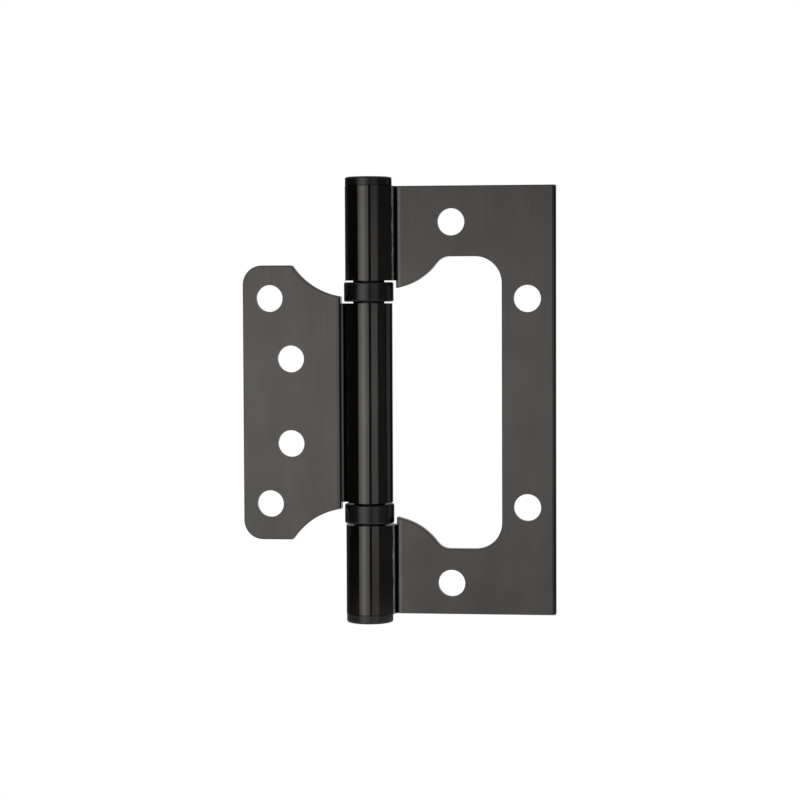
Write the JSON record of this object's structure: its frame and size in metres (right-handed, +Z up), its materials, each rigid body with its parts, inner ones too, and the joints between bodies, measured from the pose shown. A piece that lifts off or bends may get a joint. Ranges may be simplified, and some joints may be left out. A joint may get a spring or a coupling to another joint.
{
  "type": "non-mortise hinge",
  "caption": "Surface-fitted door hinge whose small leaf closes into a window in the large leaf, with rolled knuckles, ball bearings between them and capped ends.",
  "frame": {"origin": "on the hinge pin's axis, at the middle of the large leaf's height", "axes": "+Z up the pin, +X from the pin to the large leaf's free edge with the hinge flat open, -Y out of both leaves' plain faces and +Y out of their countersunk faces"},
  "size_m": [0.0736, 0.0116, 0.1042],
  "materials": {
    "leaves": "fine-brushed steel with dark nickel plating, polished on the rolled knuckles",
    "caps_and_collars": "turned steel with satin dark nickel plating",
    "pin": "ground bright steel",
    "races": "turned steel",
    "balls": "polished hardened steel"
  },
  "bodies": {
    "large_leaf": {"large_leaf": "leaves", "hinge_pin": "pin", "top_cap": "caps_and_collars", "bottom_cap": "caps_and_collars", "upper_bearing_top_race": "races", "lower_bearing_bottom_race": "races"},
    "small_leaf": {"small_leaf": "leaves", "upper_bearing_bottom_race": "races", "lower_bearing_top_race": "races"},
    "upper_collar": {"upper_bearing_collar": "caps_and_collars"},
    "lower_collar": {"lower_bearing_collar": "caps_and_collars"},
    "upper_balls": {"upper_bearing_ball_01": "balls", "upper_bearing_ball_02": "balls", "upper_bearing_ball_03": "balls", "upper_bearing_ball_04": "balls", "upper_bearing_ball_05": "balls", "upper_bearing_ball_06": "balls", "upper_bearing_ball_07": "balls", "upper_bearing_ball_08": "balls", "upper_bearing_ball_09": "balls", "upper_bearing_ball_10": "balls", "upper_bearing_ball_11": "balls", "upper_bearing_ball_12": "balls", "upper_bearing_ball_13": "balls", "upper_bearing_ball_14": "balls", "upper_bearing_ball_15": "balls", "upper_bearing_ball_16": "balls"},
    "lower_balls": {"lower_bearing_ball_01": "balls", "lower_bearing_ball_02": "balls", "lower_bearing_ball_03": "balls", "lower_bearing_ball_04": "balls", "lower_bearing_ball_05": "balls", "lower_bearing_ball_06": "balls", "lower_bearing_ball_07": "balls", "lower_bearing_ball_08": "balls", "lower_bearing_ball_09": "balls", "lower_bearing_ball_10": "balls", "lower_bearing_ball_11": "balls", "lower_bearing_ball_12": "balls", "lower_bearing_ball_13": "balls", "lower_bearing_ball_14": "balls", "lower_bearing_ball_15": "balls", "lower_bearing_ball_16": "balls"}
  },
  "joints": [
    {"name": "leaf_swing", "type": "hinge", "parent": "large_leaf", "child": "small_leaf", "pos_m": [0, 0, 0], "axis": [0, 0, -1], "range_deg": [0, 180]},
    {"name": "upper_balls_orbit", "type": "hinge", "parent": "large_leaf", "child": "upper_balls", "pos_m": [0, 0, 0.02537], "axis": [0, 0, -1], "range_deg": [0, 90]},
    {"name": "lower_balls_orbit", "type": "hinge", "parent": "large_leaf", "child": "lower_balls", "pos_m": [0, 0, -0.02653], "axis": [0, 0, -1], "range_deg": [0, 90]},
    {"name": "upper_collar_turn", "type": "hinge", "parent": "large_leaf", "child": "upper_collar", "pos_m": [0, 0, 0.02537], "axis": [0, 0, 1], "continuous": true},
    {"name": "lower_collar_turn", "type": "hinge", "parent": "large_leaf", "child": "lower_collar", "pos_m": [0, 0, -0.02653], "axis": [0, 0, 1], "continuous": true}
  ],
  "couplings": [
    {"joint": "upper_balls_orbit", "follows": "leaf_swing", "ratio": 0.5},
    {"joint": "lower_balls_orbit", "follows": "leaf_swing", "ratio": 0.5}
  ]
}
